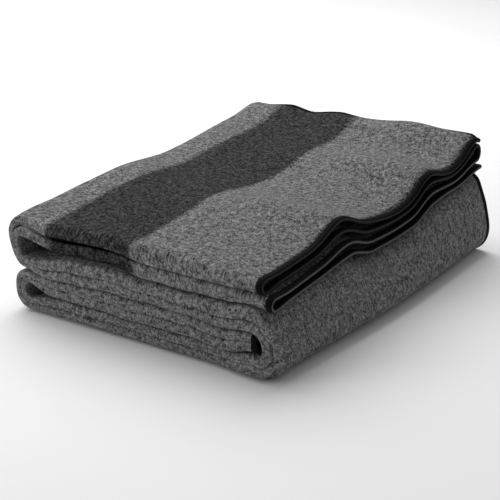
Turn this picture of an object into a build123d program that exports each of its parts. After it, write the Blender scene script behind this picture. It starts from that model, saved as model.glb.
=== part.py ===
from build123d import *
import os

os.makedirs("parts", exist_ok=True)

# A wool camp blanket, folded for storage.  Millimetres, +Z up.
# Origin: the middle of the footprint, on the surface that the blanket lies on.
# The cloth is pleated along its length into four layers, and the pleated strip
# is folded across three times, so it lies as four quarters of four layers each.
# From the visible hems at +X the strip runs to -X (top quarter), round a fold
# loop, back to +X (upper quarter), round the big loop, to -X (bottom quarter),
# round the last loop, and ends tucked inside the big loop (tucked quarter).
# -Y is the side of the narrow fold spines, +Y the side of the short cut edges.

# Driving dimensions
overall_length = 430.0      # X, fold loops included
overall_width = 566.0       # Y
quarter_front = [26.0, 32.0, 34.0, 44.0]    # thickness of each quarter at -Y, bottom first
quarter_back = [38.0, 42.0, 42.0, 51.0]     # thickness of each quarter at +Y
layers_per_quarter = 4
big_loop_reach = 40.0       # X reach of the big loop past the flat stack
big_loop_foot = 16.0        # the bottom quarter runs this much further before it turns up
belly_share = 0.32          # height of the big loop's widest line, as a share of the loop
small_loop_reach = 30.0     # X reach of the two loops at -X
hem_setback = 22.0          # from the big loop's outermost line back to the hems
overlock_width = 7.0        # width of the stitched band along a cut edge
hem_step = 1.5              # each lower hem sticks out this much further
spine_depth = 6.0           # how deep the rounding of a fold spine is
lift_gap = 0.4              # clearance between the top quarter and what it lies on
big_pocket_reach = 12.0     # X size of the hollow inside the big loop
pocket_reach = 14.0         # X size of the hollow inside each loop at -X
pocket_share = 0.22         # height of that hollow, as a share of the loop's height

x_left = -overall_length / 2
x_right = overall_length / 2
y_front = -overall_width / 2
y_back = overall_width / 2
x_flat_left = x_left + small_loop_reach
x_flat_right = x_right - big_loop_reach
x_hem = x_right - hem_setback
y_spine = y_front + spine_depth
y_edge = y_back - overlock_width
quarter_names = ["bottom_quarter", "tucked_quarter", "upper_quarter", "top_quarter"]
TOP = 3                     # index of the quarter that opens
TUCKED = 1                  # index of the quarter whose end is inside the big loop


def level(count, y):
    """Height at y of the top of the first count quarters (count may be a fraction)."""
    share = (y - y_front) / overall_width
    height = 0.0
    for front, back in zip(quarter_front, quarter_back):
        portion = min(max(count, 0.0), 1.0)
        height += portion * (front + (back - front) * share)
        count -= 1.0
    return height


def quarter_outline(index, lift):
    """Side outline of one quarter: two spines at -Y, one spine between two steps at +Y."""
    low = index
    high = index + 1
    half = index + 0.5
    first = index + 0.25
    last = index + 0.75
    Line((y_spine, level(low, y_spine) + lift), (y_edge, level(low, y_edge) + lift))
    Line((y_edge, level(low, y_edge) + lift), (y_edge, level(first, y_edge)))
    ThreePointArc(
        (y_edge, level(first, y_edge)), (y_back, level(half, y_back)), (y_edge, level(last, y_edge))
    )
    Line((y_edge, level(last, y_edge)), (y_edge, level(high, y_edge)))
    Line((y_edge, level(high, y_edge)), (y_spine, level(high, y_spine)))
    ThreePointArc(
        (y_spine, level(high, y_spine)), (y_front, level(last, y_front)), (y_spine, level(half, y_spine))
    )
    ThreePointArc(
        (y_spine, level(half, y_spine)),
        (y_front, level(first, y_front)),
        (y_spine, level(low, y_spine) + lift),
    )


def strip_outline(low, high, y_start, y_end, lift):
    """Side outline of a thin band between two levels."""
    Polyline(
        (y_start, level(low, y_start) + lift),
        (y_end, level(low, y_end) + lift),
        (y_end, level(high, y_end)),
        (y_start, level(high, y_start)),
        close=True,
    )


def loop_section(levels, hollow_levels, x_flat, reach, hollow_reach, foot, belly, y):
    """End view of a fold loop at y: two quarter ellipses around a hollow, open along Y."""
    side = 1 if x_flat > 0 else -1
    bottom, top = [level(count, y) for count in levels]
    hollow_bottom, hollow_top = [level(count, y) for count in hollow_levels]
    widest = bottom + (top - bottom) * belly
    hollow_middle = (hollow_bottom + hollow_top) / 2
    x_foot = x_flat + side * foot
    turn = 90 * side
    EllipticalCenterArc((x_flat, widest), reach, top - widest, 90, arc_size=-turn)
    EllipticalCenterArc((x_foot, widest), reach - foot, widest - bottom, 90 - turn, arc_size=-turn)
    if foot:
        Line((x_foot, bottom), (x_flat, bottom))
    Line((x_flat, bottom), (x_flat, hollow_bottom))
    EllipticalCenterArc(
        (x_flat, hollow_middle), hollow_reach, (hollow_top - hollow_bottom) / 2, 90, arc_size=-2 * turn
    )
    Line((x_flat, hollow_top), (x_flat, top))


# The flat stretch of each quarter: four layers of cloth

for index, name in enumerate(quarter_names):
    x_end = x_flat_right
    if index == TOP:
        x_end = x_hem - overlock_width
    if index == TUCKED:
        x_end = x_flat_right - overlock_width
    with BuildPart() as quarter:
        with BuildSketch(Plane.YZ.offset(x_flat_left)):
            with BuildLine():
                quarter_outline(index, lift_gap if index == TOP else 0.0)
            make_face()
        extrude(amount=x_end - x_flat_left)
    quarter.part.label = name
    export_step(quarter.part, f"parts/{name}.step")


# The three fold loops, each a loft from the -Y end to the +Y end

small_loop = {
    "x_flat": x_flat_left,
    "reach": small_loop_reach,
    "hollow_reach": pocket_reach,
    "foot": 0.0,
    "belly": 0.5,
}
big_loop = {
    "x_flat": x_flat_right,
    "reach": big_loop_reach,
    "hollow_reach": big_pocket_reach,
    "foot": big_loop_foot,
    "belly": belly_share,
}
loops = {
    "lower_left_loop": {
        "levels": (0, 2), "hollow_levels": (1 - pocket_share, 1 + pocket_share), **small_loop
    },
    "upper_left_loop": {
        "levels": (2, 4), "hollow_levels": (3 - pocket_share, 3 + pocket_share), **small_loop
    },
    "big_right_loop": {"levels": (0, 3), "hollow_levels": (1, 2), **big_loop},
}
for name, section in loops.items():
    with BuildPart() as loop:
        for y in (y_spine, y_edge):
            with BuildSketch(Plane.XZ.offset(-y)):
                with BuildLine():
                    loop_section(**section, y=y)
                make_face()
        loft()
    loop.part.label = name
    export_step(loop.part, f"parts/{name}.step")


# Black overlock stitching on the four visible hems, lowest layer first

for layer in range(layers_per_quarter):
    low = TOP + layer / layers_per_quarter
    high = TOP + (layer + 1) / layers_per_quarter
    x_out = x_hem + hem_step * (layers_per_quarter - 1 - layer)
    with BuildPart() as hem:
        with BuildSketch(Plane.YZ.offset(x_hem - overlock_width)):
            with BuildLine():
                strip_outline(low, high, y_spine, y_edge, lift_gap if layer == 0 else 0.0)
            make_face()
        extrude(amount=x_out - (x_hem - overlock_width))
    hem.part.label = f"hem_overlock_{layer + 1}"
    export_step(hem.part, f"parts/hem_overlock_{layer + 1}.step")


# The hems of the tucked end, inside the big loop

with BuildPart() as tucked_hem:
    with BuildSketch(Plane.YZ.offset(x_flat_right - overlock_width)):
        with BuildLine():
            strip_outline(TUCKED, TUCKED + 1, y_spine, y_edge, 0.0)
        make_face()
    extrude(amount=overlock_width)
tucked_hem.part.label = "tucked_hem_overlock"
export_step(tucked_hem.part, "parts/tucked_hem_overlock.step")


# The overlocked short edges at +Y: the first and the last layer of every quarter

for index, name in enumerate(quarter_names):
    x_end = x_flat_right
    if index == TOP:
        x_end = x_hem - overlock_width
    if index == TUCKED:
        x_end = x_flat_right - overlock_width
    with BuildPart() as short_edge:
        with BuildSketch(Plane.YZ.offset(x_flat_left)):
            with BuildLine():
                strip_outline(index, index + 0.25, y_edge, y_back, lift_gap if index == TOP else 0.0)
            make_face()
            with BuildLine():
                strip_outline(index + 0.75, index + 1, y_edge, y_back, 0.0)
            make_face()
        extrude(amount=x_end - x_flat_left)
    short_edge.part.label = f"{name}_short_edge"
    export_step(short_edge.part, f"parts/{name}_short_edge.step")
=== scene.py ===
import math
from collections import namedtuple

import bpy
import numpy as np
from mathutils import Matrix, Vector


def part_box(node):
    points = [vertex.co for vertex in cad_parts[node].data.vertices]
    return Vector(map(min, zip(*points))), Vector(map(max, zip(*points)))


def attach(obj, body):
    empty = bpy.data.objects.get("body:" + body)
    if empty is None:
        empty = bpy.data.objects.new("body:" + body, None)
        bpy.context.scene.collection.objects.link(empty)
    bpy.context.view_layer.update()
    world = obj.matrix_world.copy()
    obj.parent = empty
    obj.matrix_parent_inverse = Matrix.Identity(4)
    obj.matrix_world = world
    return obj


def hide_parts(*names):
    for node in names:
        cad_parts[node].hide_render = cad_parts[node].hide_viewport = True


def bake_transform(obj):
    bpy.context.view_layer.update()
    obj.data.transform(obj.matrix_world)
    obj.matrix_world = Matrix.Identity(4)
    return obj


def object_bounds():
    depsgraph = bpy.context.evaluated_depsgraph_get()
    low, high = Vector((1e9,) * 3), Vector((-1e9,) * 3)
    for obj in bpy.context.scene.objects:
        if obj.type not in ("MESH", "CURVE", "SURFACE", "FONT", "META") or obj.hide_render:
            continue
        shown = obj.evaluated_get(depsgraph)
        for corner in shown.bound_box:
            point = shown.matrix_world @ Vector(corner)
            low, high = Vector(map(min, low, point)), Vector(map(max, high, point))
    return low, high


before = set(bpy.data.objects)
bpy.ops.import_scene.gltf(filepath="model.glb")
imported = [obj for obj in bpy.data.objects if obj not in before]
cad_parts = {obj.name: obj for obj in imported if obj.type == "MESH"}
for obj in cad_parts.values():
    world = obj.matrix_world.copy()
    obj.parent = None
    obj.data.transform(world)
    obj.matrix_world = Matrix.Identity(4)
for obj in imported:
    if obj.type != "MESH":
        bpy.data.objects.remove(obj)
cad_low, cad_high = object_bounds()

# A folded wool camp blanket: one sheet of cloth, its four overlocked edges, and a
# studio around it.  Metres, in the CAD model's frame.
#
# Every point of the cloth is named by two distances.  s runs from the visible hems
# along the strip: top quarter, upper left loop, upper quarter, big right loop,
# bottom quarter, lower left loop, tucked quarter.  t runs across the pleats: layer 0
# from its short edge at +Y to the spine at -Y, back in layer 1, and so on to layer 3.

# Sizes of the cloth
CLOTH_THICKNESS = 0.0042
LAYERS = 4
STRIPE_FROM_HEM = (0.199, 0.342)
STRIPE_BLUR = 0.005

# Places that the CAD model gives
Y_FRONT, Y_BACK = cad_low.y, cad_high.y
X_LEFT, X_RIGHT = cad_low.x, cad_high.x
X_FLAT_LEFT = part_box("bottom_quarter")[0].x
X_FLAT_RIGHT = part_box("bottom_quarter")[1].x
X_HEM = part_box("hem_overlock_4")[1].x
HEM_STEP = (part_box("hem_overlock_1")[1].x - X_HEM) / (LAYERS - 1)
QUARTERS = ["bottom_quarter", "tucked_quarter", "upper_quarter", "top_quarter"]
BOTTOM, TUCKED, UPPER, TOP = range(len(QUARTERS))
EDGE_ZONE = 0.0085     # the CAD model's rounded ends lie within this of its two sides


def quarter_top(name, side):
    """Height of a quarter's top at its -Y or +Y side."""
    heights = [
        v.co.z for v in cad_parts[name].data.vertices
        if abs(v.co.y - side) < EDGE_ZONE
    ]
    return max(heights)


LEVEL_FRONT = np.array([0.0] + [quarter_top(name, Y_FRONT) for name in QUARTERS])
LEVEL_BACK = np.array([0.0] + [quarter_top(name, Y_BACK) for name in QUARTERS])


def level(index, y):
    """Height at y of the top of the first index quarters."""
    share = (y - Y_FRONT) / (Y_BACK - Y_FRONT)
    return LEVEL_FRONT[index] * (1 - share) + LEVEL_BACK[index] * share


# Shapes of a change along a distance

def smooth(value, start, end):
    """0 before start, 1 after end, smooth between them."""
    x = np.clip((value - start) / (end - start), 0.0, 1.0)
    return x * x * (3 - 2 * x)


def bump(value, middle, width):
    """A smooth hill of height 1 at middle, about twice its width across."""
    return np.exp(-((value - middle) / width) ** 2)


def waves(a, b, seed, count=5):
    """A gentle uneven field over two coordinates in metres, from about -1 to 1."""
    rng = np.random.default_rng(seed)
    total = 0.0
    for k in range(count):
        angle = rng.uniform(0, 2 * math.pi)
        length = rng.uniform(0.07, 0.30)
        phase = rng.uniform(0, 2 * math.pi)
        along = a * math.cos(angle) + b * math.sin(angle)
        total = total + np.sin(2 * math.pi * along / length + phase)
    return total / count * 1.6


# The strip's way through the stack, from the visible hems to the tucked ones

# Thickness of the strip's four layers where they are pressed together
LOOP_TIGHT = 0.019        # round the two left loops
BIG_LOOP_TIGHT = 0.023    # round the big loop
HEM_TIGHT = 0.038         # at the visible hems
LEFT_THICKNESS = {TOP: 0.025, UPPER: 0.021, BOTTOM: 0.020, TUCKED: 0.021}
RIGHT_THICKNESS = {TOP: HEM_TIGHT, UPPER: 0.032, BOTTOM: 0.034, TUCKED: 0.022}
HEM_TAIL = 0.12           # a quarter gets thinner over this length before the hems
POCKET_TAIL = {"upper": 0.080, "lower": 0.040, "big": 0.050}     # and before each loop

# Where the legs and loops meet, and how big the loops are
LOOP_START = X_FLAT_LEFT - 0.006       # the left loops are short and round
LOWER_LOOP_START = LOOP_START + 0.003
TUCKED_END = X_FLAT_RIGHT + 0.011      # the tucked hems nearly fill the big loop
BIG_LOOP_END = X_FLAT_RIGHT + 0.015    # the bottom quarter runs further before it turns up
LAYER_SPREAD = 0.375      # the outermost layer's middle, as a share of the strip's thickness
LOOP_REACH = LOOP_START - X_LEFT - LAYER_SPREAD * LOOP_TIGHT - CLOTH_THICKNESS / 2
BIG_LOOP_REACH = X_RIGHT - X_FLAT_RIGHT - LAYER_SPREAD * BIG_LOOP_TIGHT - CLOTH_THICKNESS / 2
LOOP_CLOTH = 0.058        # length of cloth along a left loop
BIG_LOOP_CLOTH = 0.105    # and along the big loop
LOOP_FULLNESS = 0.95      # below 1, a loop is squarer than an ellipse

# A leg lies in one quarter and a loop joins two.  A loop's reach is how far the strip's
# middle goes past x_start, tight is its thickness there, and belly is the height of the
# widest point as a share of the loop.
Leg = namedtuple("Leg", "quarter x_start x_end length")
Loop = namedtuple("Loop", "quarters x_start x_end reach length tight belly")


def leg(quarter, x_start, x_end):
    return Leg(quarter, x_start, x_end, abs(x_end - x_start))


UPPER_LOOP = Loop(
    (TOP, UPPER), x_start=LOOP_START, x_end=LOOP_START,
    reach=-LOOP_REACH, length=LOOP_CLOTH, tight=LOOP_TIGHT, belly=0.66,
)
BIG_LOOP = Loop(
    (UPPER, BOTTOM), x_start=X_FLAT_RIGHT, x_end=BIG_LOOP_END,
    reach=BIG_LOOP_REACH, length=BIG_LOOP_CLOTH, tight=BIG_LOOP_TIGHT, belly=0.30,
)
LOWER_LOOP = Loop(
    (BOTTOM, TUCKED), x_start=LOWER_LOOP_START, x_end=LOWER_LOOP_START,
    reach=-LOOP_REACH, length=LOOP_CLOTH, tight=LOOP_TIGHT, belly=0.5,
)
SEGMENTS = [
    leg(TOP, X_HEM, LOOP_START),
    UPPER_LOOP,
    leg(UPPER, LOOP_START, X_FLAT_RIGHT),
    BIG_LOOP,
    leg(BOTTOM, BIG_LOOP_END, LOWER_LOOP_START),
    LOWER_LOOP,
    leg(TUCKED, LOWER_LOOP_START, TUCKED_END),
]
SEGMENT_START = np.concatenate([[0.0], np.cumsum([segment.length for segment in SEGMENTS])])
STRIP_LENGTH = SEGMENT_START[-1]
UPPER_LOOP_S = SEGMENT_START[1], SEGMENT_START[2]     # where the upper left loop begins and ends


def squeeze(quarter, x):
    """How far a quarter is pressed at its left and right ends, from 0 to 1."""
    left_tail = POCKET_TAIL["upper"] if quarter in (TOP, UPPER) else POCKET_TAIL["lower"]
    left_end = LOOP_START if quarter in (TOP, UPPER) else LOWER_LOOP_START
    left = 1 - smooth(x, left_end, left_end + left_tail)
    if quarter == TOP:
        right = smooth(x, X_HEM - HEM_TAIL, X_HEM)
    else:
        right_end = {TUCKED: TUCKED_END, BOTTOM: BIG_LOOP_END, UPPER: X_FLAT_RIGHT}[quarter]
        right = smooth(x, right_end - POCKET_TAIL["big"], right_end)
    return left, right


def strip_thickness(quarter, x, y):
    """Thickness of the four layers: full in the middle of a quarter, pressed at its ends."""
    full = level(quarter + 1, y) - level(quarter, y)
    left, right = squeeze(quarter, x)
    return full + (LEFT_THICKNESS[quarter] - full) * left + (RIGHT_THICKNESS[quarter] - full) * right


def leg_centre(quarter, x, y):
    """Height of the strip's middle on a flat stretch: it hugs its quarter's top or bottom."""
    middle = (level(quarter, y) + level(quarter + 1, y)) / 2
    spare = (level(quarter + 1, y) - level(quarter, y) - strip_thickness(quarter, x, y)) / 2
    left, right = squeeze(quarter, x)
    hug_left = 1 if quarter in (TOP, TUCKED) else -1
    hug_right = 1 if quarter in (UPPER, TUCKED) else -1
    return middle + spare * np.where(left > right, hug_left, hug_right)


def leg_section(segment, share, y):
    """x, z and thickness of the strip's middle at a share of a leg's length."""
    x = segment.x_start + (segment.x_end - segment.x_start) * share
    return x, leg_centre(segment.quarter, x, y), strip_thickness(segment.quarter, x, y)


def loop_section(segment, share, y):
    """The same for a loop: two quarter ellipses that meet at its widest point."""
    before, after = segment.quarters
    z_before = leg_centre(before, segment.x_start, y)
    z_after = leg_centre(after, segment.x_end, y)
    z_widest = z_after + (z_before - z_after) * segment.belly
    x_widest = segment.x_start + segment.reach
    first_share = 1 - segment.belly
    in_first = share < first_share
    quarter_turns = np.where(in_first, share / first_share, 1 + (share - first_share) / segment.belly)
    turn = math.pi / 2 * quarter_turns
    x_from = np.where(in_first, segment.x_start, segment.x_end)
    x = x_from + (x_widest - x_from) * np.sin(turn) ** LOOP_FULLNESS
    z = z_widest + np.where(in_first, z_before - z_widest, z_widest - z_after) * np.cos(turn)
    thick_before = strip_thickness(before, segment.x_start, y)
    thick_after = strip_thickness(after, segment.x_end, y)
    round_bend = np.sin(math.pi * share) ** 2
    loose = thick_before + (thick_after - thick_before) * share
    return x, z, loose * (1 - round_bend) + segment.tight * round_bend


def strip_centre(s, y):
    """x, z and thickness of the strip's middle at s and y."""
    centre = np.zeros((3, len(s)))
    last = len(SEGMENTS) - 1
    for index, segment in enumerate(SEGMENTS):
        after_start = (s >= SEGMENT_START[index]) | (index == 0)
        before_end = (s < SEGMENT_START[index + 1]) | (index == last)
        inside = after_start & before_end
        section = leg_section if isinstance(segment, Leg) else loop_section
        share = (s[inside] - SEGMENT_START[index]) / segment.length
        centre[:, inside] = section(segment, share, y[inside])
    return centre


# The way across the pleats

SPINE_LENGTH = 0.016     # length of cloth round a spine
BACK_MARGIN = 0.002      # the cloth ends this far inside the CAD model's +Y side
LAYER_LENGTH = (Y_BACK - Y_FRONT) - 0.008
PLEAT_LENGTH = LAYERS * LAYER_LENGTH + (LAYERS - 1) * SPINE_LENGTH
FLARE = 0.035            # a layer opens towards its spine over this distance
LAYER_GAP = 0.0002       # room between the layers round a spine
NOSE_INSIDE = 0.14       # the two -Y spines of a quarter are blunt where they meet
NOSE_OUTSIDE = 0.62
USUAL_THICKNESS = 0.03   # of the strip, good enough to find y from t


def blunt(value, power):
    """A sine or cosine raised to a power below 1: it turns a round spine into a blunt one."""
    return np.sign(value) * np.abs(value) ** power


def layer_section(k, share, radius, thickness):
    """y and height in the strip along layer k, which opens towards its spines."""
    along = share if k % 2 == 0 else 1 - share
    half = CLOTH_THICKNESS / 2
    back_spine = k in (1, 2)
    front = Y_FRONT + radius + half
    back = Y_BACK - BACK_MARGIN - (radius + half if back_spine else 0.0)
    y = back + (front - back) * along
    opening = radius - thickness / 8
    front_side = 1 if k in (0, 2) else -1
    back_side = 1 if k == 1 else -1
    at_front = 1 - smooth(y - front, 0.0, FLARE)
    at_back = 1 - smooth(back - y, 0.0, FLARE) if back_spine else 0.0
    pair = thickness / 4 * (1 if k < 2 else -1)
    rise = pair + front_side * (thickness / 8 + opening * at_front)
    return y, rise + back_side * opening * at_back


def spine_section(k, share, radius, thickness, roundness):
    """The same round the spine after layer k: at -Y a blunt one, at +Y a round one."""
    angle = math.pi * share
    middle = thickness / 4 * (1 - k)
    half = CLOTH_THICKNESS / 2
    if k % 2 == 1:
        y = Y_BACK - BACK_MARGIN - radius - half + radius * np.sin(angle)
        return y, middle + radius * np.cos(angle)
    faces_middle = np.cos(angle) * (k - 1) > 0
    power = np.where(faces_middle, NOSE_INSIDE, NOSE_OUTSIDE)
    power = power + (1 - power) * roundness
    y = Y_FRONT + radius + half - radius * blunt(np.sin(angle), power)
    return y, middle + radius * blunt(np.cos(angle), power)


def pleat(t, thickness, roundness=0.0):
    """y and height in the strip for t, and which layer it is (a fraction on a spine)."""
    y, rise, layer = np.zeros_like(t), np.zeros_like(t), np.zeros_like(t)
    radius = thickness / 4 - CLOTH_THICKNESS / 2 - LAYER_GAP / 2
    roundness = np.broadcast_to(roundness, t.shape)
    start = 0.0
    for k in range(LAYERS):
        end = start + LAYER_LENGTH
        after_start = (t >= start) | (k == 0)
        before_end = (t <= end) | (k == LAYERS - 1)
        inside = after_start & before_end
        share = (t[inside] - start) / LAYER_LENGTH
        y[inside], rise[inside] = layer_section(k, share, radius[inside], thickness[inside])
        layer[inside] = k
        if k < LAYERS - 1:
            inside = (t > end) & (t < end + SPINE_LENGTH)
            share = (t[inside] - end) / SPINE_LENGTH
            y[inside], rise[inside] = spine_section(
                k, share, radius[inside], thickness[inside], roundness[inside]
            )
            layer[inside] = k + share
        start = end + SPINE_LENGTH
    return y, rise, layer


def cloth_point(s, t):
    """Middle of the cloth's thickness at s, t."""
    s, t = np.broadcast_arrays(np.asarray(s, float), np.asarray(t, float))
    shape = s.shape
    s, t = s.ravel(), t.ravel()
    y_guess = pleat(t, np.full_like(s, USUAL_THICKNESS))[0]
    thickness = strip_centre(s, y_guess)[2]
    round_at_hems = 1 - smooth(s, 0.02, 0.10)
    y, rise, layer = pleat(t, thickness, round_at_hems)
    x, z, _ = strip_centre(s, y)
    step = 0.0005
    x1, z1, _ = strip_centre(s - step, y)
    x2, z2, _ = strip_centre(s + step, y)
    dx, dz = x2 - x1, z2 - z1
    size = np.hypot(dx, dz)
    x = x + dz / size * rise
    z = z - dx / size * rise
    return shape_by_hand(Place(x, y, z, s, layer)).reshape(shape + (3,))


# What makes this blanket's folds uneven: each function moves the cloth a little.  The
# numbers given to smooth and bump say where, and the numbers that multiply say how far.

class Place:
    """Points of the cloth on their way to their final place.

    front is 1 at the -Y spines, in_top is 1 in the top quarter, and outer_layer is 1 in layer 0.
    """

    def __init__(self, x, y, z, s, layer):
        self.x, self.y, self.z = x.copy(), y.copy(), z.copy()
        self.s, self.layer = s, layer
        self.front = 1 - smooth(y, Y_FRONT, Y_FRONT + 0.09)
        self.in_top = np.where(s < UPPER_LOOP_S[0], 1.0, 0.0)
        self.outer_layer = np.clip(1 - layer, 0, 1)


def step_hems(p):
    """Each lower hem sticks out further, and the lower pair much further at the spines."""
    p.x += HEM_STEP * p.layer * (1 - smooth(p.s, 0.0, 0.05))
    lower_pair = smooth(p.layer, 1.0, 2.0) * (1 - smooth(p.y, Y_FRONT, 0.08))
    p.x += 0.011 * lower_pair * (1 - smooth(p.s, 0.0, 0.10))


def open_gap(p):
    """Beside the upper left loop the upper pair stands proud of the lower one, over a gap."""
    gap = smooth(p.x, -0.175, -0.115) * (1 - smooth(p.x, -0.06, 0.03)) * p.front * p.in_top
    p.y += 0.015 * gap * smooth(p.layer, 1.3, 2.0)
    p.z += gap * np.interp(p.layer, range(LAYERS), [0.002, 0.007, -0.006, -0.001])


def round_upper_loop(p):
    """Round the upper left loop the outer pair stands back, and its front corner is round."""
    start, end = UPPER_LOOP_S
    at_loop = smooth(p.s, start - 0.05, start) * (1 - smooth(p.s, end - 0.02, end + 0.03))
    outer_pair = 1 - smooth(p.layer, 0.8, 1.6)
    p.y += 0.010 * p.front * at_loop * outer_pair
    p.x -= p.front * at_loop * (0.004 + 0.005 * outer_pair)
    corner = (1 - smooth(p.x, -0.20, -0.11)) * (1 - smooth(p.y, Y_FRONT, Y_FRONT + 0.05))
    p.z -= 0.007 * corner * smooth(p.z, 0.09, 0.14)
    p.x -= 0.002 * p.front * (1 - smooth(p.x, -0.21, -0.17)) * (1 - smooth(p.z, 0.05, 0.07))


def sag_top(p):
    """The top is full near the spines, and sunk between the middle and the back."""
    left = 1 - smooth(p.x, -0.20, -0.10)
    sunk = -0.013 * smooth(p.y, -0.08, 0.05) * (1 - smooth(p.y - 0.020 * left, 0.19, 0.275))
    full = (0.005 - 0.003 * left) * bump(p.y, -0.18, 0.09)
    p.z += (sunk * (0.92 + 0.08 * smooth(p.x, -0.20, 0.0)) + full) * smooth(p.z, 0.05, 0.15)


def wave_back_edge(p):
    """The back edge of the top rises to the right, with two shallow dips."""
    back = smooth(p.y, 0.20, 0.28) * smooth(p.z, 0.08, 0.16)
    p.z -= back * (0.002 * (1 - smooth(p.x, -0.20, -0.12)) + 0.005 * bump(p.x, -0.095, 0.025))
    p.z += back * (0.0055 * smooth(p.x, -0.03, 0.08) - 0.002 * bump(p.x, 0.06, 0.04))


def curl_edges(p):
    """The outer layer's cut edges curl in, least where the stripe reaches the back."""
    width = 0.018
    at_edge = np.clip((p.y - Y_BACK + width) / width, 0, 1) ** 2 * p.outer_layer
    stripe_middle = -0.085
    away_from_stripe = smooth(np.abs(p.x - stripe_middle), 0.04, 0.09)
    away_from_stripe = away_from_stripe * (1 - 0.7 * smooth(p.x, 0.12, 0.18))
    p.z -= (0.001 + 0.009 * away_from_stripe) * at_edge * smooth(p.z, 0.13, 0.16)
    p.x -= 0.010 * at_edge * smooth(p.x, 0.185, 0.21) * (1 - p.in_top)
    at_hem = smooth(p.y, -0.05, 0.05) * smooth(p.x, X_HEM - 0.014, X_HEM)
    p.z -= 0.005 * at_hem * p.in_top * p.outer_layer


def wave_hems(p):
    """Under the hems the big loop dips in the middle, and the hems rise off it in two crests."""
    under = -0.013 * smooth(p.y, -0.09, -0.03) * (1 - smooth(p.y, 0.08, 0.14))
    under += 0.004 * smooth(p.y, 0.12, 0.18) - 0.009 * smooth(p.y, 0.18, 0.27)
    over = 0.023 * bump(p.y, -0.102, 0.042) + 0.026 * bump(p.y, 0.132, 0.038) + 0.002
    over += 0.006 * smooth(p.y, 0.13, 0.19) + 0.008 * smooth(p.y, 0.225, 0.27)
    to_right = smooth(p.x, 0.0, 0.17)
    over_reach = 0.35 * smooth(p.x, -0.12, 0.02) + 0.65 * to_right
    height_in_top = p.in_top * (1 - (p.layer + 0.5) / LAYERS)
    p.z += under * to_right * smooth(p.z, 0.03, 0.09) * (1 - height_in_top)
    p.z += over * over_reach * height_in_top


def shape_big_loop(p):
    """The big loop leans in at the back, its foot bulges, and its front corner is round."""
    lean = (0.002 + 0.004 * smooth(p.z, 0.07, 0.11)) * smooth(p.y, 0.15, 0.28)
    p.x -= lean * smooth(p.x, 0.19, 0.21) * (1 - p.in_top)
    foot = smooth(p.x, 0.15, 0.205) * (1 - smooth(p.z, 0.02, 0.07))
    p.x += 0.011 * foot * bump(p.y, 0.02, 0.20)
    low = 1 - smooth(p.z, 0.03, 0.08)
    p.y += 0.013 * smooth(p.x, 0.180, 0.218) ** 2 * low * p.front


def lift_low_spines(p):
    """The lowest spines stand back and curl up a little, and nothing lies quite straight."""
    p.y += 0.008 * p.front * (1 - smooth(p.z, 0.03, 0.10)) * (1 - smooth(p.x, 0.10, 0.19))
    p.z += 0.0035 * (1 - smooth(p.y, Y_FRONT, Y_FRONT + 0.03)) * (1 - smooth(p.z, 0.0, 0.06))
    p.z += 0.0015 * waves(p.x, p.y, 3) * smooth(p.z, 0.02, 0.06)
    under_top = smooth(p.z, 0.01, 0.04) * (1 - smooth(p.z, 0.10, 0.13))
    p.z += 0.0028 * p.front * waves(2 * p.x, 3 * p.z, 7) * under_top


def shape_by_hand(place):
    """All the moves, in this order: each one starts from where the ones before it end."""
    hand_moves = (
        step_hems, open_gap, round_upper_loop, sag_top, wave_back_edge, curl_edges, wave_hems,
        shape_big_loop, lift_low_spines,
    )
    for move in hand_moves:
        move(place)
    return np.stack([place.x, place.y, place.z], axis=-1)


# The cloth as a closed mesh

LEG_STEPS, LOOP_STEPS, BIG_LOOP_STEPS = 42, 18, 22      # rows of the mesh along the strip
FLARE_STEPS, LAYER_STEPS, SPINE_STEPS = 4, 34, 14       # and across the pleats


def steps(breaks, counts):
    """Distances along a path: each stretch between two breaks cut into its own count."""
    parts = [np.linspace(a, b, n, endpoint=False) for a, b, n in zip(breaks[:-1], breaks[1:], counts)]
    return np.concatenate(parts + [[breaks[-1]]])


def s_steps():
    """The mesh's rows along the strip, closer together round the loops."""
    counts = {UPPER_LOOP: LOOP_STEPS, BIG_LOOP: BIG_LOOP_STEPS, LOWER_LOOP: LOOP_STEPS}
    return steps(SEGMENT_START, [counts.get(segment, LEG_STEPS) for segment in SEGMENTS])


def t_steps():
    """The mesh's rows across the pleats, closer together at the spines."""
    breaks, counts = [0.0], []
    for k in range(LAYERS):
        start = breaks[-1]
        breaks += [start + FLARE / 2, start + LAYER_LENGTH - FLARE / 2, start + LAYER_LENGTH]
        counts += [FLARE_STEPS, LAYER_STEPS, FLARE_STEPS]
        if k < LAYERS - 1:
            breaks.append(breaks[-1] + SPINE_LENGTH)
            counts.append(SPINE_STEPS)
    return steps(breaks, counts)


def surface_normals(grid):
    """Unit normals of a grid of points, facing out of layer 0."""
    along_s = np.gradient(grid, axis=0)
    along_t = np.gradient(grid, axis=1)
    normal = np.cross(along_s, along_t)
    return normal / np.linalg.norm(normal, axis=-1, keepdims=True)


def new_mesh(name, vertices, faces):
    mesh = bpy.data.meshes.new(name)
    mesh.from_pydata(vertices.reshape(-1, 3).tolist(), [], faces)
    mesh.update()
    mesh.polygons.foreach_set("use_smooth", [True] * len(mesh.polygons))
    piece = bpy.data.objects.new(name, mesh)
    bpy.context.scene.collection.objects.link(piece)
    return piece


def vector_attribute(piece, name, vectors):
    """Three numbers at each vertex, for the material to read."""
    attribute = piece.data.attributes.new(name, "FLOAT_VECTOR", "POINT")
    attribute.data.foreach_set("vector", np.asarray(vectors, np.float32).ravel())


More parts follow.
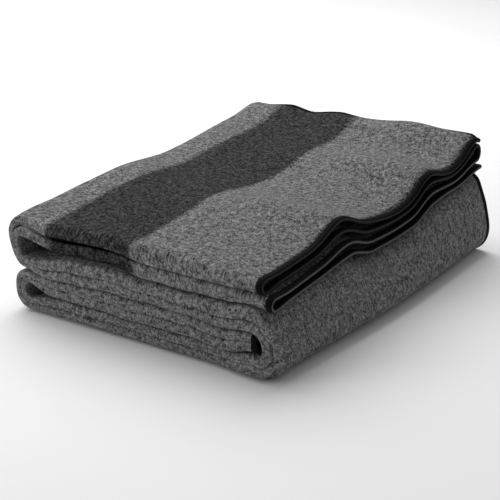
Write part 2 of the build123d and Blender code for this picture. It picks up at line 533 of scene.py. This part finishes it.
def cloth_mesh():
    """The cloth, with each vertex's s: two grids, half a thickness to either side, and a rim."""
    grid_s, grid_t = np.meshgrid(s_steps(), t_steps(), indexing="ij")
    middle = cloth_point(grid_s, grid_t)
    normal = surface_normals(middle)
    half = CLOTH_THICKNESS / 2
    vertices = np.concatenate([middle + normal * half, middle - normal * half])
    size = grid_s.size
    index = np.arange(size).reshape(grid_s.shape)
    a, b, c, d = index[:-1, :-1], index[1:, :-1], index[1:, 1:], index[:-1, 1:]
    over = np.stack([a, b, c, d], axis=-1).reshape(-1, 4)
    under = np.stack([a, d, c, b], axis=-1).reshape(-1, 4) + size
    faces = over.tolist() + under.tolist()
    border = np.concatenate([index[0, :], index[1:, -1], index[-1, -2::-1], index[-2:0:-1, 0]])
    for first, second in zip(border, np.roll(border, -1)):
        faces.append([int(first), int(second), int(second + size), int(first + size)])
    piece = new_mesh("blanket_cloth", vertices, faces)

    # Where each vertex lies on the flat cloth: s, and the mean distance across the pleats
    across = np.linalg.norm(np.diff(middle, axis=1), axis=-1).mean(axis=0)
    grid_arc = np.broadcast_to(np.concatenate([[0.0], np.cumsum(across)]), grid_s.shape)
    flat_place = np.stack([grid_s, grid_arc, np.zeros_like(grid_s)], axis=-1).reshape(-1, 3)
    vector_attribute(piece, "cloth_place", np.concatenate([flat_place, flat_place]))
    return piece, np.tile(grid_s.ravel(), 2)


# The overlocked edges

OVERLOCK_WIDTH = 0.0075
THREAD_THICKNESS = 0.0006
STITCH_PITCH = 0.0028
STITCH_RISE = 0.00045
EDGE_STEP = 0.0009       # distance between two rings of vertices along an edge


def overlock_outline():
    """Cross section of the thread: distance into the cloth and height, from top to bottom."""
    half = CLOTH_THICKNESS / 2 + THREAD_THICKNESS
    upper_half = [
        (OVERLOCK_WIDTH, half * 0.80),
        (OVERLOCK_WIDTH * 0.8, half),
        (OVERLOCK_WIDTH * 0.3, half * 1.04),
        (-0.0006, half * 0.85),
        (-0.0014, half * 0.35),
    ]
    return upper_half + [(depth, -rise) for depth, rise in reversed(upper_half)]


def overlock(name, edge, inner, normal, distance, bare=0.0):
    """Thread wrapped round a cut edge: edge is a line of points, inner points into the cloth.

    bare is how much of the cut cloth shows between the stitches along the line, from 0 to 1.
    """
    outline = overlock_outline()
    count = len(outline)
    rings = []
    for k, (depth, rise) in enumerate(outline):
        turn = 2 * math.pi * (distance / STITCH_PITCH + k / count)
        flat_rim = k in (0, count - 1)
        ridge = STITCH_RISE * (0.5 + 0.5 * np.sin(turn)) * (0 if flat_rim else 1)
        outward = math.hypot(min(depth, 0), rise)
        ring_depth = depth + ridge * (min(depth, 0) / outward)
        ring_rise = rise + ridge * (rise / outward)
        rings.append(edge + inner * ring_depth[:, None] + normal * ring_rise[:, None])
    vertices = np.stack(rings, axis=1)
    rows = len(edge)
    index = np.arange(rows * count).reshape(rows, count)
    following = np.roll(index, -1, axis=1)
    sides = np.stack([index[:-1], following[:-1], following[1:], index[1:]], axis=-1)
    faces = sides.reshape(-1, 4).tolist() + [index[0, ::-1].tolist(), index[-1].tolist()]
    piece = new_mesh(name, vertices, faces)

    # 0 on the middle of the edge to 1 at the thread's two inner lines, and how bare it is
    around = np.abs(np.arange(count) - (count - 1) / 2) / ((count - 1) / 2)
    bare_here = np.repeat(np.broadcast_to(bare, rows), count)
    place = np.stack([np.tile(around, rows), np.repeat(distance, count), bare_here], axis=-1)
    vector_attribute(piece, "thread_place", place)
    return piece


def edge_frame(s, t, s_inner, t_inner):
    """Points on a cut edge, the direction into the cloth, its normal and the distance along it."""
    edge = cloth_point(s, t)
    inner = cloth_point(s_inner, t_inner) - edge
    inner /= np.linalg.norm(inner, axis=-1, keepdims=True)
    along = np.gradient(edge, axis=0)
    normal = np.cross(along, inner)
    normal /= np.linalg.norm(normal, axis=-1, keepdims=True)
    lengths = np.linalg.norm(np.diff(edge, axis=0), axis=-1)
    return edge, inner, normal, np.concatenate([[0.0], np.cumsum(lengths)])


def make_overlocks():
    """The four bands of thread, and the s of each vertex of the two along the short edges."""
    inset = 0.004
    t = np.linspace(0, PLEAT_LENGTH, int(PLEAT_LENGTH / EDGE_STEP))
    s = np.linspace(0, STRIP_LENGTH, int(STRIP_LENGTH / EDGE_STEP))
    first_s, last_s = np.zeros_like(t), np.full_like(t, STRIP_LENGTH)
    first_t, last_t = np.zeros_like(s), np.full_like(s, PLEAT_LENGTH)
    layer = pleat(t, np.full_like(t, HEM_TIGHT))[2]
    worn = 0.3 + 0.7 * smooth(layer, 1.2, 1.8)
    hem = overlock("hem_overlock", *edge_frame(first_s, t, first_s + inset, t), bare=worn)
    tucked = overlock("tucked_overlock", *edge_frame(last_s, t, last_s - inset, t))
    short_a = overlock("short_edge_overlock_a", *edge_frame(s, first_t, s, first_t + inset))
    short_b = overlock("short_edge_overlock_b", *edge_frame(s, last_t, s, last_t - inset))
    return hem, tucked, short_a, short_b, np.repeat(s, len(overlock_outline()))


# Each piece's transform, fixed into its mesh

def bend_at_fold(piece):
    """Bake a piece's transform into its mesh."""
    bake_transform(piece)


# Materials

BLACK = (0.001, 0.001, 0.001, 1)
LIGHT_FIBRE = (0.385, 0.386, 0.390, 1)
STRIPE_FIBRE = (0.135, 0.135, 0.138, 1)
# painted shade along the hems, partly the stitches' black thread in the wool
HEM_SHADE_AND_STITCH = (0.004, 0.004, 0.004, 1)
THREAD_SHINE = (0.008, 0.008, 0.008, 1)
CUT_WOOL = (0.09, 0.09, 0.09, 1)


class Shader:
    """A new material with one Principled shader, and short ways to add nodes to it."""

    def __init__(self, name, roughness, specular):
        self.material = bpy.data.materials.new(name)
        self.material.use_nodes = True
        self.tree = self.material.node_tree
        self.tree.nodes.clear()
        out = self.add("ShaderNodeOutputMaterial")
        self.surface = self.add("ShaderNodeBsdfPrincipled")
        self.surface.inputs["Roughness"].default_value = roughness
        self.surface.inputs["Specular IOR Level"].default_value = specular
        self.link(self.surface.outputs[0], out.inputs[0])

    def add(self, kind, **settings):
        node = self.tree.nodes.new(kind)
        for key, value in settings.items():
            setattr(node, key, value)
        return node

    def link(self, output, socket):
        self.tree.links.new(output, socket)

    def put(self, value, socket):
        """Link an output to a socket, or set the socket to a number or a colour."""
        if isinstance(value, (int, float, tuple)):
            socket.default_value = value
        else:
            self.link(value, socket)

    def attribute(self, name):
        """A vector attribute, and its three numbers."""
        vector = self.add("ShaderNodeAttribute", attribute_name=name).outputs["Vector"]
        split = self.add("ShaderNodeSeparateXYZ")
        self.link(vector, split.inputs[0])
        return vector, split.outputs

    def noise(self, position, scale, detail, roughness):
        node = self.add("ShaderNodeTexNoise")
        node.inputs["Scale"].default_value = scale
        node.inputs["Detail"].default_value = detail
        node.inputs["Roughness"].default_value = roughness
        self.link(position, node.inputs["Vector"])
        return node.outputs[0]

    def remap(self, value, low, high, to_low, to_high, interpolation="LINEAR"):
        node = self.add("ShaderNodeMapRange", interpolation_type=interpolation)
        for socket, number in zip(node.inputs[1:5], (low, high, to_low, to_high)):
            socket.default_value = number
        self.link(value, node.inputs[0])
        return node.outputs[0]

    def maths(self, operation, first, second):
        node = self.add("ShaderNodeMath", operation=operation)
        self.put(first, node.inputs[0])
        self.put(second, node.inputs[1])
        return node.outputs[0]

    def share(self, first, first_share, second):
        """A mean of two values, of which the first has the given share."""
        first = self.maths("MULTIPLY", first, first_share)
        second = self.maths("MULTIPLY", second, 1 - first_share)
        return self.maths("ADD", first, second)

    def mix(self, factor, first, second):
        node = self.add("ShaderNodeMix", data_type="RGBA")
        self.link(factor, node.inputs["Factor"])
        self.put(first, node.inputs[6])
        self.put(second, node.inputs[7])
        return node.outputs[2]

    def colour(self, value):
        self.link(value, self.surface.inputs["Base Color"])

    def bumps(self, height, strength, distance):
        node = self.add("ShaderNodeBump")
        node.inputs["Strength"].default_value = strength
        node.inputs["Distance"].default_value = distance
        self.link(height, node.inputs["Height"])
        self.link(node.outputs[0], self.surface.inputs["Normal"])


def heather_wool():
    """Light and dark fibres felted together, a dark stripe with a soft edge, and a nap."""
    wool = Shader("heather_wool", roughness=0.92, specular=0.03)
    position, (from_hem, _, _) = wool.attribute("cloth_place")

    ragged = wool.remap(wool.noise(position, 260, 3, 0.75), 0.3, 0.7, -0.006, 0.006)
    distance = wool.maths("ADD", from_hem, ragged)
    start, end = STRIPE_FROM_HEM
    enters = wool.remap(distance, start - STRIPE_BLUR, start + STRIPE_BLUR, 0, 1, "SMOOTHSTEP")
    leaves = wool.remap(distance, end - STRIPE_BLUR, end + STRIPE_BLUR, 1, 0, "SMOOTHSTEP")
    stripe = wool.maths("MULTIPLY", enters, leaves)

    fibre = wool.remap(wool.noise(position, 460, 3, 0.75), 0.41, 0.60, 0, 1)
    tuft = wool.remap(wool.noise(position, 175, 4, 0.75), 0.41, 0.60, 0, 1)
    cloud = wool.remap(wool.noise(position, 62, 4, 0.7), 0.35, 0.65, 0, 1)
    heather = wool.share(wool.share(fibre, 0.5, tuft), 0.80, cloud)
    grey = wool.mix(wool.maths("POWER", heather, 1.3), BLACK, LIGHT_FIBRE)
    dark = wool.mix(wool.maths("POWER", heather, 1.8), BLACK, STRIPE_FIBRE)
    colour = wool.mix(stripe, grey, dark)

    # Painted shade darkens the wool along the hems towards the overlock; it partly stands for the
    # stitches that reach unevenly into the wool
    hem_shade_and_stitches = wool.remap(
        distance, OVERLOCK_WIDTH - 0.001, OVERLOCK_WIDTH + 0.005, 0.85, 0, "SMOOTHSTEP"
    )
    wool.colour(wool.mix(hem_shade_and_stitches, colour, HEM_SHADE_AND_STITCH))

    nap = wool.maths("ADD", wool.noise(position, 620, 4, 0.7), wool.maths("MULTIPLY", cloud, 0.5))
    wool.bumps(nap, strength=0.32, distance=0.0014)
    return wool.material


def overlock_thread():
    """Matte black thread, with cut wool between the stitches on the middle of the edge."""
    thread = Shader("overlock_thread", roughness=0.85, specular=0.08)
    position = thread.add("ShaderNodeTexCoord").outputs["Object"]
    strands = thread.noise(position, 900, 3, 0.5)
    black = thread.mix(thread.remap(strands, 0.35, 0.75, 0, 1), BLACK, THREAD_SHINE)
    _, (around, _, bareness) = thread.attribute("thread_place")
    core = thread.remap(around, 0.14, 0.22, 1, 0)
    bare = thread.maths("MULTIPLY", core, bareness)
    thread.colour(thread.mix(bare, black, CUT_WOOL))
    thread.bumps(strands, strength=0.4, distance=0.0004)
    return thread.material


# The studio

FLOOR_DROP = 0.0005      # the floor lies this much below the CAD model


def pale_floor():
    material = bpy.data.materials.new("pale_floor")
    material.use_nodes = True
    shader = material.node_tree.nodes["Principled BSDF"]
    shader.inputs["Base Color"].default_value = (0.92, 0.92, 0.92, 1)
    shader.inputs["Roughness"].default_value = 0.8
    return material


def place_and_turn(thing, place, direction):
    """Put a light or a camera in the scene, looking along a direction."""
    thing.location = place
    thing.rotation_mode = "QUATERNION"
    thing.rotation_quaternion = direction.to_track_quat("-Z", "Y")
    bpy.context.scene.collection.objects.link(thing)


def area_light(name, place, size, power):
    """A round light that shines on the middle of the blanket."""
    data = bpy.data.lights.new(name, "AREA")
    data.shape = "DISK"
    data.size = size
    data.energy = power
    middle = Vector((0, 0, 0.08))
    place_and_turn(bpy.data.objects.new(name, data), place, middle - Vector(place))


def make_studio():
    bpy.ops.mesh.primitive_plane_add(size=12, location=(0, 0, cad_low.z - FLOOR_DROP))
    floor = bpy.context.object
    floor.name = "studio_floor"
    floor.data.materials.append(pale_floor())
    world = bpy.data.worlds.new("studio")
    world.use_nodes = True
    background = world.node_tree.nodes["Background"]
    background.inputs["Color"].default_value = (1, 1, 1, 1)
    background.inputs["Strength"].default_value = 0.32
    bpy.context.scene.world = world
    bpy.context.scene.view_settings.view_transform = "Standard"
    area_light("key", (-1.0, 0.6, 1.8), size=2.8, power=54)
    area_light("fill", (-1.5, -1.9, 0.8), size=1.6, power=13)


# The camera, by its direction from the blanket, its distance and its aim
CAMERA_AZIMUTH = math.radians(34.7)
CAMERA_ELEVATION = math.radians(21.1)
CAMERA_DISTANCE = 2.30
CAMERA_LENS = 116.6
AIM_RIGHT, AIM_UP = -0.0148, 0.0403


def make_camera():
    flat = math.cos(CAMERA_ELEVATION)
    back = Vector((
        math.sin(CAMERA_AZIMUTH) * flat, -math.cos(CAMERA_AZIMUTH) * flat, math.sin(CAMERA_ELEVATION)
    ))
    right = Vector((math.cos(CAMERA_AZIMUTH), math.sin(CAMERA_AZIMUTH), 0))
    aim = right * AIM_RIGHT + back.cross(right) * AIM_UP
    data = bpy.data.cameras.new("camera")
    data.lens = CAMERA_LENS
    data.sensor_width = 36
    camera = bpy.data.objects.new("camera", data)
    place_and_turn(camera, aim + back * CAMERA_DISTANCE, -back)
    bpy.context.scene.camera = camera


make_camera()
make_studio()

wool, thread = heather_wool(), overlock_thread()
cloth, cloth_s = cloth_mesh()
hem, tucked, short_a, short_b, short_s = make_overlocks()
cloth.data.materials.append(wool)
for piece in (hem, tucked, short_a, short_b):
    piece.data.materials.append(thread)

bend_at_fold(cloth)
bend_at_fold(short_a)
bend_at_fold(short_b)
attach(hem, "top_flap")
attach(tucked, "folded_stack")

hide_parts(*QUARTERS, "upper_left_loop", "lower_left_loop", "big_right_loop")
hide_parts(*[f"hem_overlock_{layer + 1}" for layer in range(LAYERS)])
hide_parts("tucked_hem_overlock")
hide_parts(*[f"{name}_short_edge" for name in QUARTERS])
